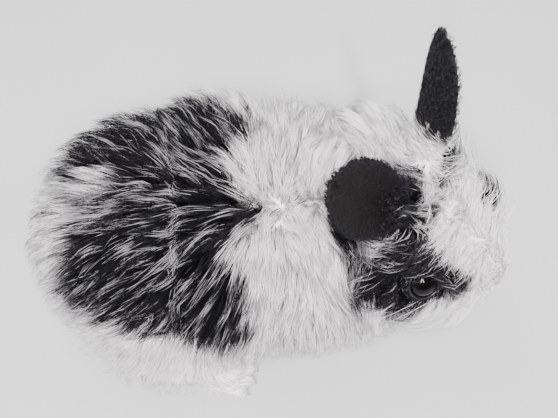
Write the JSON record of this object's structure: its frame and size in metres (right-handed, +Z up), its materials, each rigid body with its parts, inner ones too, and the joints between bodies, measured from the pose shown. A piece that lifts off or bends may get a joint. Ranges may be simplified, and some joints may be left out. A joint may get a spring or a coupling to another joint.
{
  "type": "lionhead rabbit",
  "caption": "Crouching young long-haired rabbit with a mane, head turned to its right, one ear up and one laid back.",
  "frame": {"origin": "under the middle of the whole outline, on the floor the feet rest on", "axes": "+X from the tail to the shoulders, +Y to the rabbit's left, +Z up"},
  "size_m": [0.166, 0.1104, 0.1143],
  "materials": {
    "head": "long soft white coat",
    "neck": "long soft white coat",
    "torso": "long soft coat, charcoal black with silver and white hairs",
    "tail": "long soft white coat",
    "hind_leg_left": "long soft white coat",
    "fore_leg_left": "long soft white coat",
    "hind_leg_right": "long soft white coat",
    "fore_leg_right": "long soft white coat",
    "eye_left": "wet, glossy dark eye",
    "eye_right": "wet, glossy dark eye",
    "ear_left": "short black fur on thin skin",
    "ear_right": "short black fur on thin skin"
  },
  "bodies": {
    "root": {"head": "head", "neck": "neck", "torso": "torso", "tail": "tail", "hind_leg_left": "hind_leg_left", "fore_leg_left": "fore_leg_left", "hind_leg_right": "hind_leg_right", "fore_leg_right": "fore_leg_right", "eye_left": "eye_left", "eye_right": "eye_right", "ear_left": "ear_left", "ear_right": "ear_right"}
  },
  "joints": []
}
